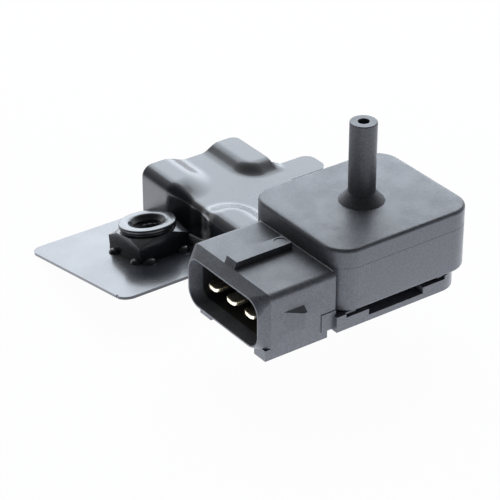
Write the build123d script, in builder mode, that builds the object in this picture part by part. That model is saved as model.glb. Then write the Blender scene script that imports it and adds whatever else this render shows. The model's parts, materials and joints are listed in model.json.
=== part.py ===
from build123d import *
import os
from math import cos, radians, sin, sqrt

os.makedirs("parts", exist_ok=True)

# Frame: the origin is on the hose nipple's axis, in the plane of the clip base's underside.
# +Z runs up the nipple, and the cable plug leaves the connector along -Y.

# Sheet of the bracket, and the slot in the clip base that it slides into
sheet_t = 0.5
slide_clear = 0.08
base_h = 2.17
slot_h = sheet_t + 2 * slide_clear

# Moulded box: lower half with the board, upper half with the nipple
body_w = 24.65
body_l = 28.1
body_corner_r = 4.35
housing_h = 7.95
cover_h = 3.4
top_edge_r = 0.6
bottom_edge_r = 0.45
wall_t = 1.6
floor_t = 1.0
roof_t = 1.6
body_bottom = base_h + slot_h
seam_gap = 0.05
seam_z = body_bottom + housing_h
top_z = seam_z + cover_h
inner_w = body_w - 2 * wall_t
inner_l = body_l - 2 * wall_t
inner_r = body_corner_r - wall_t
body_front = -body_l / 2
body_right = body_w / 2

# Clip base under the box
base_front_step = -0.15
base_rear_step = 2.1
base_front_r = 0.8
front_web = 1.9
rear_web = 3.85
window_l = 11.2
window_start = 4.6
window_depth = 1.12
lip_h = 0.35
lip_deep = 2.0
front_lip_l = 2.25
rear_lip_l = 1.3
base_front = body_front + base_front_step
base_rear = body_l / 2 - base_rear_step
slot_front = base_front + front_web
slot_rear = base_rear - rear_web

# Connector shroud
shroud_x = 0.99
shroud_w = 20.98
shroud_h = 10.75
shroud_z0 = 0.03
shroud_l = 12.48
shroud_sink = 0.15
shroud_r = 1.1
shroud_wall = 1.08
lead_l = 1.92
mouth_w = shroud_w - 2 * shroud_wall
mouth_h = 8.42
mouth_z0 = 0.91
mouth_r = 2.5
rim_t = 0.28
inner_lead_l = 2.25
inner_lead_step = 0.12
inner_side_step = 0.6
mouth_depth = 11.5
shroud_rear = body_front + shroud_sink
shroud_front = body_front - shroud_l
rim_y = shroud_front - lead_l
mouth_mid_z = mouth_z0 + mouth_h / 2
pocket_w = mouth_w - 2 * inner_side_step
pocket_h = mouth_h - inner_side_step - inner_lead_step
pocket_mid_z = mouth_z0 + inner_side_step + pocket_h / 2
pocket_r = mouth_r - inner_side_step

# Keying rib, lugs for the plug's wire latch, rails and side pad on the shroud
rib_w = 2.7
rib_h = 1.2
rib_nose = 0.5
rib_side = -0.8
rib_gap = 1.25
mark_r = 1.1
mark_h = 0.12
lug_front = 4.4
lug_l = 3.9
lug_land = 0.6
lug_proud = 1.0
lug_z0 = 3.37
lug_h = 2.8
lug_crown = 0.85
rail_w = 3.0
rail_inset = 3.0
rail_front = 0.8
rail_back = 13.0
rail_drop = 0.86
pad_l = 2.8
pad_h = 3.2
pad_proud = 0.15

# Hose nipple
nipple_r = 2.3
nipple_bore_r = 0.95
nipple_h = 14.35
nipple_foot_r = 3.9
nipple_foot_h = 1.8
nipple_tip_chamfer = 0.12
nipple_top = top_z + nipple_h

# Blade terminals
blade_pitch = 5.0
blade_w = 2.8
blade_t = 0.8
blade_z = 4.69
blade_setback = 1.5
blade_nose = 0.6
tail_w = 1.8
tail_inside = 1.2
tail_names = ("terminal_ground", "terminal_signal", "terminal_supply")

# Circuit board and what it carries
ledge_w = 1.0
bond_t = 0.2
board_t = 0.8
board_gap = 0.35
board_clear = 1.35
board_setback = tail_inside + board_clear
board_z0 = blade_z - blade_t / 2
board_top = board_z0 + board_t
board_w = inner_w - 2 * board_gap
board_rear = inner_l / 2 - board_gap
board_front = -inner_l / 2 + board_setback
board_l = board_rear - board_front
board_mid_y = board_rear - board_l / 2
cup_w = 7.2
cup_h = 2.8
cup_floor = 0.5
cup_bore_r = 2.8
die_w = 3.2
glass_h = 1.0
die_h = 0.45
die_pit_w = 1.4
die_pit_h = 0.35
gel_h = 1.95
chip_w = 6.0
chip_l = 4.2
chip_h = 1.5
chip_inset = 3.575
chip_setback = 3.4
chip_x = chip_inset - board_w / 2
chip_y = board_front + chip_setback
chip_leg_w = 0.45
chip_leg_l = 0.9
chip_leg_t = 0.25
chip_leg_pitch = 1.27
chip_legs = 4
capacitor_size = (2.0, 1.25, 1.1)
capacitor_inset = 3.575
capacitor_setback = 3.1
capacitor_step_x = 3.4
capacitor_step_y = 2.8
capacitor_x = board_w / 2 - capacitor_inset
capacitor_y = board_front + capacitor_setback
capacitor_places = ((capacitor_x - capacitor_step_x, capacitor_y), (capacitor_x, capacitor_y),
                    (capacitor_x, capacitor_y + capacitor_step_y))
resistor_size = (3.2, 1.6, 0.6)
resistor_inset = 4.775
resistor_setback = 5.6
resistor_x = board_w / 2 - resistor_inset
resistor_y = board_rear - resistor_setback
resistor_places = ((-resistor_x, resistor_y), (resistor_x, resistor_y))
link_w = 0.8
link_t = 0.2
link_rise = 0.8
link_foot = 0.5
link_slope = 0.35
link_r = 0.2

# Seal between the halves, locating lip, and the filter in the port
seal_w = 0.7
seal_h = 0.6
lip_t = 0.8
lip_l = 1.2
fit_clear = 0.05
filter_r = 3.1
filter_h = 1.0
filter_boss_t = 1.0
filter_pocket = 0.15

# Bracket: a plateau that goes into the slot, a step down and a sloping flange with a weld nut
plateau_top = base_h + slide_clear + sheet_t
plateau_left = -45.9
plateau_front_gap = 0.55
plateau_back_gap = 1.0
plateau_front = slot_front + plateau_front_gap
plateau_back = slot_rear - plateau_back_gap
step_right = -17.3
step_drop = 14.0
over = 8.0
bend_r = 0.9
plateau_corner_r = 1.5
tongue_front = plateau_front + bend_r
tongue_start = -14.0
tongue_end = 8.4
tongue_r = 1.5
emboss_h = 1.35
emboss_bulge = 1.35
emboss_bend = 0.6
emboss_nick = 0.5
emboss_narrow = 0.6
left_pad_right = -33.0
left_pad_depth = 7.7
left_pad_slope = 3.3
right_pad_left = -29.2
right_pad_gap = 0.4
right_pad_depth = 7.5
right_pad_slope = 3.2
wall_pad_r = 5.0
back_pad_right = -32.9
back_pad_depth = 7.0
back_pad_slope = 2.5
back_pad_r = 6.5
tab_x0 = -34.6
tab_w = 5.9
tab_l = 8.2
tab_r = 2.0
flange_tilt = 10.0
flange_left = -19.4
flange_right = 12.05
flange_l = 23.3
flange_r = 2.2
flange_ref = (-29.87, -3.58)
flange_front = plateau_front - flange_l

# Weld nut
nut_along = -3.3
nut_setback = 8.2
nut_y = plateau_front - nut_setback
nut_s = 10.2
nut_h = 5.2
nut_thread_r = 2.5
nut_mouth_r = 3.05
nut_collar_r = 5.05
nut_collar_h = 1.25
nut_shoulder = 0.62
bead_r = 0.7
bead_h = 0.5
bead_out = 3.4
bolt_hole_r = 3.4


# Latch lug on the shroud's right side: a ramp that rises towards the body, with a short land
lug_y0 = rim_y + lug_front
lug_root = shroud_x + shroud_w / 2
with BuildPart() as lug:
    with BuildSketch(Plane.XY.offset(lug_z0)):
        with BuildLine():
            Polyline((lug_root - rim_t, lug_y0), (lug_root, lug_y0),
                     (lug_root + lug_proud, lug_y0 + lug_l - lug_land),
                     (lug_root + lug_proud, lug_y0 + lug_l),
                     (lug_root - rim_t, lug_y0 + lug_l), close=True)
        make_face()
    extrude(amount=lug_h + lug_crown)
    with BuildSketch(Plane.XZ.offset(-(lug_y0 + lug_l))):
        with BuildLine():
            Polyline((lug_root, lug_z0 + lug_h + lug_crown), (lug_root + lug_proud, lug_z0 + lug_h),
                     (lug_root + lug_proud, lug_z0 + lug_h + lug_crown), close=True)
        make_face()
    extrude(amount=lug_l, mode=Mode.SUBTRACT)


# Blade terminals: flat tinned blades in the mouth, narrower tails through the box's front wall
tail_end = -inner_l / 2 + tail_inside
tail_start = rim_y + mouth_depth
blade_tip = rim_y + blade_setback
terminals = []
for place, tail_name in enumerate(tail_names):
    blade_x = shroud_x + (place - 1) * blade_pitch
    with BuildPart() as terminal:
        with BuildSketch(Plane.XY.offset(blade_z - blade_t / 2)):
            with Locations((blade_x, (blade_tip + tail_start + 1) / 2)):
                Rectangle(blade_w, tail_start + 1 - blade_tip)
        extrude(amount=blade_t)
        chamfer(terminal.edges().filter_by(Axis.Z).group_by(Axis.Y)[0], blade_nose)
        chamfer(terminal.faces().sort_by(Axis.Y)[0].edges().filter_by(Axis.X), blade_t / 4)
        with BuildSketch(Plane.XY.offset(blade_z - blade_t / 2)):
            with Locations((blade_x, (tail_start + tail_end) / 2)):
                Rectangle(tail_w, tail_end - tail_start)
        extrude(amount=blade_t)
    terminal.part.label = tail_name
    export_step(terminal.part, f"parts/{tail_name}.step")
    terminals.append(terminal.part)


# Housing: box, clip base and connector shroud in one moulding
with BuildPart() as housing:
    with BuildSketch(Plane.XY.offset(body_bottom)):
        RectangleRounded(body_w, body_l, body_corner_r)
    extrude(amount=housing_h)
    fillet(housing.faces().sort_by(Axis.Z)[0].edges(), bottom_edge_r)
    with BuildSketch():
        with BuildLine():
            Polyline((-body_right, base_front), (body_right, base_front),
                     (body_right, base_rear), (-body_right, base_rear), close=True)
        base_plan = make_face()
        fillet(base_plan.vertices().group_by(Axis.Y)[-1], body_corner_r)
        fillet(base_plan.vertices().group_by(Axis.Y)[0], base_front_r)
    extrude(amount=body_bottom)
    # Shroud, its chamfered nose and the rails under its sides
    with BuildSketch(Plane.XZ.offset(-shroud_rear)):
        with Locations((shroud_x, shroud_z0 + shroud_h / 2)):
            RectangleRounded(shroud_w, shroud_h, shroud_r)
    extrude(amount=shroud_rear - shroud_front)
    with BuildSketch(Plane.XZ.offset(-shroud_front)):
        with Locations((shroud_x, shroud_z0 + shroud_h / 2)):
            RectangleRounded(shroud_w, shroud_h, shroud_r)
    with BuildSketch(Plane.XZ.offset(-rim_y)):
        with Locations((shroud_x, mouth_mid_z)):
            RectangleRounded(mouth_w + 2 * rim_t, mouth_h + 2 * rim_t, mouth_r + rim_t)
    loft()
    with BuildSketch(Plane.XY.offset(shroud_z0 - rail_drop)):
        for rail_x in ((rail_w - shroud_w) / 2 + rail_inset, (shroud_w - rail_w) / 2):
            with Locations((shroud_x + rail_x, rim_y + (rail_front + rail_back) / 2)):
                Rectangle(rail_w, rail_back - rail_front)
    extrude(amount=rail_drop + shroud_r)
    # Keying rib with a bevelled nose, a little to the left, with a round ejector mark near its rear end
    rib_foot = shroud_z0 + shroud_h
    rib_rear = shroud_rear - rib_gap
    with BuildSketch(Plane.YZ.offset(shroud_x + rib_side - rib_w / 2)):
        with BuildLine():
            Polyline((shroud_front, rib_foot - rim_t), (shroud_front, rib_foot),
                     (shroud_front + rib_nose, rib_foot + rib_h), (rib_rear, rib_foot + rib_h),
                     (rib_rear, rib_foot - rim_t), close=True)
        make_face()
    extrude(amount=rib_w)
    with BuildSketch(Plane.XY.offset(rib_foot + rib_h - mark_h)):
        with Locations((shroud_x + rib_side, rib_rear - rib_w / 2)):
            Circle(mark_r)
    extrude(amount=mark_h, mode=Mode.SUBTRACT)
    add(lug.part)
    add(lug.part.mirror(Plane.YZ.offset(shroud_x)))
    with BuildSketch(Plane.XY.offset(seam_z)):
        Rectangle(2 * body_w, body_l + 2 * seam_gap)
    extrude(amount=cover_h, mode=Mode.SUBTRACT)
    # Pad low on the shroud's right side, next to the clip base
    with BuildSketch(Plane.XY.offset(shroud_z0 + shroud_r / 2)):
        with Locations((shroud_x + shroud_w / 2 + pad_proud / 2 - rim_t / 2, shroud_rear - pad_l / 2)):
            Rectangle(pad_proud + rim_t, pad_l)
    extrude(amount=pad_h)
    # Mouth, with a tapered lead-in
    with BuildSketch(Plane.XZ.offset(-rim_y)):
        with Locations((shroud_x, mouth_mid_z)):
            RectangleRounded(mouth_w, mouth_h, mouth_r)
    with BuildSketch(Plane.XZ.offset(-(rim_y + inner_lead_l))):
        with Locations((shroud_x, pocket_mid_z)):
            RectangleRounded(pocket_w, pocket_h, pocket_r)
    loft(mode=Mode.SUBTRACT)
    with BuildSketch(Plane.XZ.offset(-(rim_y + mouth_depth))):
        with Locations((shroud_x, pocket_mid_z)):
            RectangleRounded(pocket_w, pocket_h, pocket_r)
    extrude(amount=mouth_depth - inner_lead_l, mode=Mode.SUBTRACT)
    # Inside of the box: a ledge all round for the board, and a higher one in front for the tails
    with BuildSketch(Plane.XY.offset(body_bottom + floor_t)):
        RectangleRounded(inner_w, inner_l, inner_r)
    extrude(amount=housing_h, mode=Mode.SUBTRACT)
    with BuildSketch(Plane.XY.offset(body_bottom + floor_t)):
        RectangleRounded(inner_w, inner_l, inner_r)
        RectangleRounded(inner_w - 2 * ledge_w - 2 * board_gap, inner_l - 2 * ledge_w - 2 * board_gap, inner_r / 2,
                         mode=Mode.SUBTRACT)
    extrude(amount=board_z0 - bond_t - body_bottom - floor_t)
    with BuildSketch(Plane.XY.offset(body_bottom + floor_t)):
        with Locations((shroud_x, -inner_l / 2 + tail_inside / 2)):
            Rectangle(2 * blade_pitch + blade_w, tail_inside)
    extrude(amount=blade_z - blade_t / 2 - body_bottom - floor_t)
    # Groove for the seal in the rim
    with BuildSketch(Plane.XY.offset(seam_z - seal_h)):
        RectangleRounded(body_w - wall_t + seal_w, body_l - wall_t + seal_w,
                         body_corner_r - (wall_t - seal_w) / 2)
        RectangleRounded(body_w - wall_t - seal_w, body_l - wall_t - seal_w,
                         body_corner_r - (wall_t + seal_w) / 2, mode=Mode.SUBTRACT)
    extrude(amount=seal_h, mode=Mode.SUBTRACT)
    # Slot for the bracket, deeper in the middle, with a stop lip at each end of its right mouth
    with BuildSketch(Plane.XY.offset(base_h)):
        with Locations((0, (slot_front + slot_rear) / 2)):
            Rectangle(body_w + 2 * wall_t, slot_rear - slot_front)
    extrude(amount=slot_h, mode=Mode.SUBTRACT)
    with BuildSketch(Plane.XY.offset(base_h - window_depth)):
        with Locations((0, slot_front + window_start + window_l / 2)):
            Rectangle(body_w + 2 * wall_t, window_l)
    extrude(amount=window_depth, mode=Mode.SUBTRACT)
    with BuildSketch(Plane.XY.offset(body_bottom - lip_h)):
        lip_x = body_right - bottom_edge_r - lip_deep / 2
        with Locations((lip_x, slot_front + front_lip_l / 2)):
            Rectangle(lip_deep, front_lip_l)
        with Locations((lip_x, slot_rear - rear_lip_l / 2)):
            Rectangle(lip_deep, rear_lip_l)
    extrude(amount=lip_h)
    for blade in terminals:
        add(blade, mode=Mode.SUBTRACT)
housing.part.label = "housing"
export_step(housing.part, "parts/housing.step")


# Cover with the hose nipple
with BuildPart() as cover:
    with BuildSketch(Plane.XY.offset(seam_z)):
        RectangleRounded(body_w, body_l, body_corner_r)
    extrude(amount=cover_h)
    fillet(cover.faces().sort_by(Axis.Z)[-1].edges(), top_edge_r)
    with BuildSketch(Plane.XY.offset(seam_z - lip_l)):
        RectangleRounded(inner_w - 2 * fit_clear, inner_l - 2 * fit_clear, inner_r - fit_clear)
    extrude(amount=lip_l)
    with BuildSketch(Plane.XY.offset(seam_z - lip_l)):
        RectangleRounded(inner_w - 2 * fit_clear - 2 * lip_t, inner_l - 2 * fit_clear - 2 * lip_t, inner_r - lip_t)
    extrude(amount=lip_l + cover_h - roof_t, mode=Mode.SUBTRACT)
    # Boss round the port, with the filter's pocket
    with BuildSketch(Plane.XY.offset(top_z - roof_t)):
        Circle(filter_r + filter_boss_t)
    extrude(amount=-(filter_h + filter_pocket))
    with BuildSketch(Plane.XY.offset(top_z - roof_t)):
        Circle(filter_r)
    extrude(amount=-(filter_h + filter_pocket), mode=Mode.SUBTRACT)
    with BuildSketch(Plane.XZ):
        with BuildLine():
            Polyline((0, top_z - roof_t / 2), (nipple_foot_r, top_z - roof_t / 2), (nipple_foot_r, top_z),
                     (nipple_r, top_z + nipple_foot_h), (nipple_r, nipple_top - nipple_tip_chamfer),
                     (nipple_r - nipple_tip_chamfer, nipple_top), (0, nipple_top), close=True)
        make_face()
    revolve(axis=Axis.Z)
    with BuildSketch(Plane.XY.offset(top_z - roof_t)):
        Circle(nipple_bore_r)
    extrude(amount=roof_t + nipple_h, mode=Mode.SUBTRACT)
cover.part.label = "cover"
export_step(cover.part, "parts/cover.step")


# Seal ring laid in the rim's groove
with BuildPart() as seal:
    with BuildSketch(Plane.XY.offset(seam_z - seal_h)):
        RectangleRounded(body_w - wall_t + seal_w, body_l - wall_t + seal_w,
                         body_corner_r - (wall_t - seal_w) / 2)
        RectangleRounded(body_w - wall_t - seal_w, body_l - wall_t - seal_w,
                         body_corner_r - (wall_t + seal_w) / 2, mode=Mode.SUBTRACT)
    extrude(amount=seal_h)
seal.part.label = "seal_ring"
export_step(seal.part, "parts/seal_ring.step")


# Porous disc that keeps fuel mist off the chip
with BuildPart() as port_filter:
    with BuildSketch(Plane.XY.offset(top_z - roof_t)):
        Circle(filter_r)
    extrude(amount=-filter_h)
port_filter.part.label = "port_filter"
export_step(port_filter.part, "parts/port_filter.step")


# Ceramic board and the silicone frame that bonds it to the ledge
with BuildPart() as board:
    with BuildSketch(Plane.XY.offset(board_z0)):
        with Locations((0, board_mid_y)):
            RectangleRounded(board_w, board_l, inner_r - board_gap)
    extrude(amount=board_t)
board.part.label = "ceramic_board"
export_step(board.part, "parts/ceramic_board.step")

with BuildPart() as bond:
    with BuildSketch(Plane.XY.offset(board_z0 - bond_t)):
        with Locations((0, board_mid_y)):
            RectangleRounded(board_w, board_l, inner_r - board_gap)
        RectangleRounded(inner_w - 2 * ledge_w - 2 * board_gap, inner_l - 2 * ledge_w - 2 * board_gap, inner_r / 2,
                         mode=Mode.SUBTRACT)
    extrude(amount=bond_t)
bond.part.label = "board_bond"
export_step(bond.part, "parts/board_bond.step")


# Pressure cell: a moulded cup, the silicon die on its glass base, and the gel over them
with BuildPart() as cup:
    with BuildSketch(Plane.XY.offset(board_top)):
        RectangleRounded(cup_w, cup_w, cup_w / 8)
    extrude(amount=cup_h)
    with BuildSketch(Plane.XY.offset(board_top + cup_floor)):
        Circle(cup_bore_r)
    extrude(amount=cup_h, mode=Mode.SUBTRACT)
cup.part.label = "cell_cup"
export_step(cup.part, "parts/cell_cup.step")

glass_z0 = board_top + cup_floor
with BuildPart() as glass:
    with BuildSketch(Plane.XY.offset(glass_z0)):
        Rectangle(die_w, die_w)
    extrude(amount=glass_h)
glass.part.label = "glass_base"
export_step(glass.part, "parts/glass_base.step")

with BuildPart() as die:
    with BuildSketch(Plane.XY.offset(glass_z0 + glass_h)):
        Rectangle(die_w, die_w)
    extrude(amount=die_h)
    with BuildSketch(Plane.XY.offset(glass_z0 + glass_h)):
        Rectangle(die_pit_w, die_pit_w)
    extrude(amount=die_pit_h, mode=Mode.SUBTRACT)
die.part.label = "silicon_die"
export_step(die.part, "parts/silicon_die.step")

with BuildPart() as gel:
    with BuildSketch(Plane.XY.offset(glass_z0)):
        Circle(cup_bore_r)
    extrude(amount=gel_h)
    with BuildSketch(Plane.XY.offset(glass_z0)):
        Rectangle(die_w, die_w)
    extrude(amount=glass_h + die_h, mode=Mode.SUBTRACT)
gel.part.label = "gel_fill"
export_step(gel.part, "parts/gel_fill.step")


# Signal chip with its two rows of legs
with BuildPart() as chip:
    with BuildSketch(Plane.XY.offset(board_top + chip_leg_t)):
        with Locations((chip_x, chip_y)):
            Rectangle(chip_w, chip_l)
    extrude(amount=chip_h)
    with BuildSketch(Plane.XY.offset(board_top)):
        for side in (-1, 1):
            with Locations((chip_x, chip_y + side * chip_l / 2)):
                with GridLocations(chip_leg_pitch, chip_leg_pitch, chip_legs, 1):
                    Rectangle(chip_leg_w, chip_leg_l)
    extrude(amount=2 * chip_leg_t)
chip.part.label = "signal_chip"
export_step(chip.part, "parts/signal_chip.step")


# Capacitors and trimmed resistors
for kind, size, places in (("capacitor", capacitor_size, capacitor_places),
                           ("resistor", resistor_size, resistor_places)):
    for number, (place_x, place_y) in enumerate(places, start=1):
        with BuildPart() as block:
            with BuildSketch(Plane.XY.offset(board_top)):
                with Locations((place_x, place_y)):
                    Rectangle(size[0], size[1])
            extrude(amount=size[2])
        block.part.label = f"{kind}_{number}"
        export_step(block.part, f"parts/{kind}_{number}.step")


# Arched ribbons that join the tails to the board
link_z = board_top + link_t / 2
link_start = tail_end - link_foot - link_foot / 2
link_end = board_front + 2 * link_foot
for number in range(1, len(tail_names) + 1):
    link_x = shroud_x + (number - 2) * blade_pitch
    with BuildPart() as link:
        with BuildLine():
            FilletPolyline((link_x, link_start, link_z), (link_x, link_start + link_foot, link_z),
                           (link_x, link_start + link_foot + link_slope, link_z + link_rise),
                           (link_x, link_end - link_foot - link_slope, link_z + link_rise),
                           (link_x, link_end - link_foot, link_z), (link_x, link_end, link_z), radius=link_r)
        with BuildSketch(Plane(origin=(link_x, link_start, link_z), x_dir=(1, 0, 0), z_dir=(0, 1, 0))):
            Rectangle(link_w, link_t)
        sweep()
    link.part.label = f"board_link_{number}"
    export_step(link.part, f"parts/board_link_{number}.step")


# Flange plane: its top surface falls towards -X at the flange's tilt
tilt = radians(flange_tilt)
flange_plane = Plane(origin=(flange_ref[0], 0, flange_ref[1]), x_dir=(cos(tilt), 0, sin(tilt)),
                     z_dir=(-sin(tilt), 0, cos(tilt)))

# Embossed pads of the plateau: left, right, front and back of the foot, width of the slope and corner
# radius. Two of them bulge out of the step's wall, and two run out over the plateau's left edge.
front_bulge = plateau_front - emboss_bulge
wall_pads = ((plateau_left - over, left_pad_right, plateau_front + left_pad_depth, left_pad_slope, wall_pad_r),
             (right_pad_left, tongue_start - right_pad_gap, plateau_front + right_pad_depth, right_pad_slope,
              wall_pad_r))
back_pads = ((plateau_left - over, back_pad_right, plateau_back - back_pad_depth, back_pad_slope, back_pad_r),)
pad_rise = ((0, 0), (0.14, 0), (0.86, 0.5), (1, 1))
pad_reach = (0, 0.28, 0.72, 1)

skins = []
for inset in (0, sheet_t):
    skin_top = plateau_top - inset
    narrow = inset * emboss_narrow
    with BuildPart() as skin:
        with BuildSketch(Plane.XY.offset(skin_top)):
            with BuildLine():
                Polyline((plateau_left - over, plateau_front + inset), (step_right + over, plateau_front + inset),
                         (step_right + over, plateau_back + over), (plateau_left - over, plateau_back + over),
                         close=True)
            make_face()
        extrude(amount=-step_drop)
        fillet(skin.edges().filter_by(Axis.X).group_by(Axis.Z)[-1].sort_by(Axis.Y)[0], bend_r - inset)
        for left, right, back, slope, corner_r in wall_pads:
            for (rise, bend_part), reach in zip(pad_rise, pad_reach):
                side_in = narrow + reach * slope
                side_y = plateau_front + inset - reach * (emboss_bulge - emboss_nick) + bend_part * emboss_bend
                front_y = front_bulge + inset + bend_part * emboss_bend
                front_in = narrow + slope + reach * emboss_nick
                with BuildSketch(Plane.XY.offset(skin_top + rise * emboss_h)):
                    with BuildLine():
                        Polyline((left + side_in, side_y), (left + front_in, front_y),
                                 (right - front_in, front_y), (right - side_in, side_y),
                                 (right - side_in, back - side_in), (left + side_in, back - side_in), close=True)
                    pad_face = make_face()
                    fillet(pad_face.vertices().group_by(Axis.Y)[-1], corner_r - reach * slope / 2)
            loft(ruled=True)
            with BuildSketch(Plane.XY.offset(skin_top)):
                with BuildLine():
                    Polyline((left + narrow, plateau_front + inset), (left + narrow + slope, front_bulge + inset),
                             (right - narrow - slope, front_bulge + inset), (right - narrow, plateau_front + inset),
                             close=True)
                make_face()
            extrude(amount=-step_drop)
        for left, right, front, slope, corner_r in back_pads:
            for (rise, bend_part), reach in zip(pad_rise, pad_reach):
                side_in = narrow + reach * slope
                with BuildSketch(Plane.XY.offset(skin_top + rise * emboss_h)):
                    with BuildLine():
                        Polyline((left + side_in, front + side_in), (right - side_in, front + side_in),
                                 (right - side_in, plateau_back + over), (left + side_in, plateau_back + over),
                                 close=True)
                    pad_face = make_face()
                    fillet(pad_face.vertices().group_by(Axis.Y)[0], corner_r - reach * slope / 2)
            loft(ruled=True)
    skins.append(skin.part)

# Bracket: one stamped and folded sheet
wall_along = (plateau_left - flange_ref[0]) / cos(tilt)
with BuildPart() as bracket:
    add(skins[0])
    add(skins[1], mode=Mode.SUBTRACT)
    with BuildSketch(Plane.XY.offset(plateau_top + 2 * emboss_h)):
        with BuildLine():
            Polyline((plateau_left, front_bulge - over), (step_right, front_bulge - over),
                     (step_right, tongue_front), (tongue_start, tongue_front),
                     (tongue_start, plateau_back), (plateau_left, plateau_back), close=True)
        trim_face = make_face()
        fillet(trim_face.vertices().group_by(Axis.Y)[-1].sort_by(Axis.X)[0], plateau_corner_r)
    extrude(amount=-2 * step_drop, mode=Mode.INTERSECT)
    with BuildSketch(flange_plane.offset(-sheet_t / 2)):
        Rectangle(10 * step_drop, 10 * step_drop)
    extrude(amount=-2 * step_drop, mode=Mode.SUBTRACT)
    with BuildSketch(flange_plane):
        with BuildLine():
            Polyline((flange_left, flange_front), (flange_right, flange_front),
                     (flange_right, plateau_front + sheet_t), (wall_along, plateau_front + sheet_t),
                     (wall_along, front_bulge + sheet_t), (flange_left, front_bulge + sheet_t), close=True)
        flange_face = make_face()
        fillet(flange_face.vertices().group_by(Axis.Y)[0], flange_r)
    extrude(amount=-sheet_t)
    add(skins[1], mode=Mode.SUBTRACT)
    with BuildSketch(Plane.XY.offset(plateau_top)):
        with BuildLine():
            Polyline((tongue_start - sheet_t / 2, tongue_front), (tongue_end, tongue_front),
                     (tongue_end, plateau_back), (tongue_start - sheet_t / 2, plateau_back), close=True)
        tongue_face = make_face()
        fillet(tongue_face.vertices().group_by(Axis.X)[-1], tongue_r)
    extrude(amount=-sheet_t)
    with BuildSketch(Plane.XY.offset(plateau_top)):
        with BuildLine():
            Polyline((tab_x0, plateau_back - tab_r / 2), (tab_x0 + tab_w, plateau_back - tab_r / 2),
                     (tab_x0 + tab_w, plateau_back + tab_l), (tab_x0, plateau_back + tab_l), close=True)
        tab_face = make_face()
        fillet(tab_face.vertices().group_by(Axis.Y)[-1], tab_r)
    extrude(amount=-sheet_t)
    with BuildSketch(flange_plane):
        with Locations((nut_along, nut_y)):
            Circle(bolt_hole_r)
    extrude(amount=-sheet_t, mode=Mode.SUBTRACT)
bracket.part.label = "bracket"
export_step(bracket.part, "parts/bracket.step")


# Square weld nut on the flange, with its weld beads
nut_plane = flange_plane.shift_origin(flange_plane.from_local_coords(Vector(nut_along, nut_y, 0)))
nut_side = Plane(origin=nut_plane.origin, x_dir=nut_plane.x_dir, z_dir=-nut_plane.y_dir)
nut_corner_r = nut_s / sqrt(2)
with BuildPart() as nut:
    with BuildSketch(nut_plane):
        Rectangle(nut_s, nut_s)
    extrude(amount=nut_h)
    with BuildSketch(nut_side):
        with BuildLine():
            Polyline((0, 0), (nut_corner_r, 0), (nut_corner_r, nut_h - nut_collar_h - nut_shoulder),
                     (nut_collar_r, nut_h - nut_collar_h), (nut_collar_r, nut_h), (0, nut_h), close=True)
        make_face()
    revolve(axis=Axis(nut_plane.origin, nut_plane.z_dir), mode=Mode.INTERSECT)
    with BuildSketch(nut_plane):
        with GridLocations(nut_s, 2 * bead_out, 2, 2):
            Circle(bead_r)
        with GridLocations(2 * bead_out, nut_s, 2, 2):
            Circle(bead_r)
    extrude(amount=bead_h)
    with BuildSketch(nut_side):
        with BuildLine():
            Polyline((0, 0), (nut_mouth_r, 0), (nut_thread_r, nut_mouth_r - nut_thread_r),
                     (nut_thread_r, nut_h - nut_mouth_r + nut_thread_r), (nut_mouth_r, nut_h), (0, nut_h),
                     close=True)
        make_face()
    revolve(axis=Axis(nut_plane.origin, nut_plane.z_dir), mode=Mode.SUBTRACT)
nut.part.label = "weld_nut"
export_step(nut.part, "parts/weld_nut.step")
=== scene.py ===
import json
import math
import bmesh
import bpy
from mathutils import Matrix, Vector


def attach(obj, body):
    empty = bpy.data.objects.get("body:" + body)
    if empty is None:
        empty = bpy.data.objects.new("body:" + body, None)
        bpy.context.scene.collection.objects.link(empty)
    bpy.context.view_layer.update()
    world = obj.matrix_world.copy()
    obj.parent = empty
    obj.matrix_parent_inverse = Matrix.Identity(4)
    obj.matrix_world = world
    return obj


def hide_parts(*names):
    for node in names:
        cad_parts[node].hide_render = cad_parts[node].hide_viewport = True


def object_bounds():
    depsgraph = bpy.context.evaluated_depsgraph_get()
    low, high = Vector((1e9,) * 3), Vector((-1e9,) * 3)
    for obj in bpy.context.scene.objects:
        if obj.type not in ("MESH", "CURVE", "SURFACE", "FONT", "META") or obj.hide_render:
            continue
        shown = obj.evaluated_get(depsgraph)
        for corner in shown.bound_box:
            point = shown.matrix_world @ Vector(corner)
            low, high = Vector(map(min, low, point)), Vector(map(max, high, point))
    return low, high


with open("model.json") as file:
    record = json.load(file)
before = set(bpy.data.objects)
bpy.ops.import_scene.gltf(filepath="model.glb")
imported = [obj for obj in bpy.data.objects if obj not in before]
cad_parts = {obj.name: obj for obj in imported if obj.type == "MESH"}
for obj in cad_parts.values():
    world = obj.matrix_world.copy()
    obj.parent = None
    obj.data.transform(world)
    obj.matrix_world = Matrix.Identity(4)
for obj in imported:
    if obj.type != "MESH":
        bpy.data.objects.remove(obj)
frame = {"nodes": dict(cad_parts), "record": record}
boxAtLoad = [list(corner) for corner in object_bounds()]
cadNodes = frame["nodes"]
mm = 0.001
print("frame loaded, pieces:", len(cadNodes))


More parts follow.
